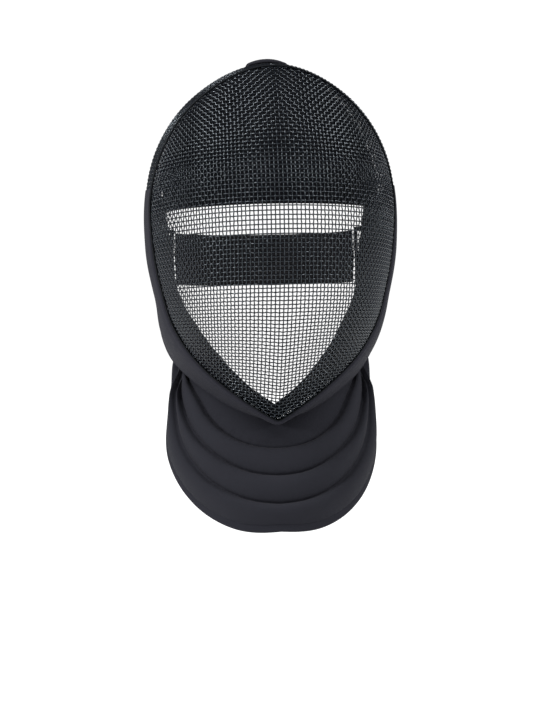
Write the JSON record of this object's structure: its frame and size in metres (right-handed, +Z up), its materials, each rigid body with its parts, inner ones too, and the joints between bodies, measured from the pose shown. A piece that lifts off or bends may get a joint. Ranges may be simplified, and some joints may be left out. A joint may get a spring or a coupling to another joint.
{
  "type": "fencing mask",
  "caption": "Black woven-wire fencing mask with a creased face bowl, mesh sides, padded lining, cloth side cover, quilted throat bib, elastic back strap and spring tongue.",
  "frame": {"origin": "where the crown of the head meets the underside of the crown lining", "axes": "+Z up, the wearer looks along -Y, X across the face"},
  "size_m": [0.2068, 0.2404, 0.3814],
  "materials": {
    "coated_wire": "satin black coating on woven steel wire",
    "coated_strip": "satin black coating on steel strip",
    "cover_cloth": "matt navy-black woven cloth",
    "bib_cloth": "matt navy-black woven cloth, quilted",
    "lining_cloth": "matt black brushed lining",
    "elastic": "ribbed black elastic webbing",
    "binding_tape": "black sewn binding tape",
    "black_steel": "gloss black steel"
  },
  "bodies": {
    "root": {"front_mesh": "coated_wire", "seam_strip": "coated_strip", "side_mesh": "coated_wire", "rear_binding": "binding_tape", "side_cover": "cover_cloth", "bib": "bib_cloth", "bib_hem": "binding_tape", "crown_lining": "lining_cloth", "side_lining": "lining_cloth", "back_strap": "elastic", "strap_loop_left": "black_steel", "strap_loop_right": "black_steel", "tongue": "cover_cloth", "tongue_pad": "lining_cloth"}
  },
  "joints": []
}
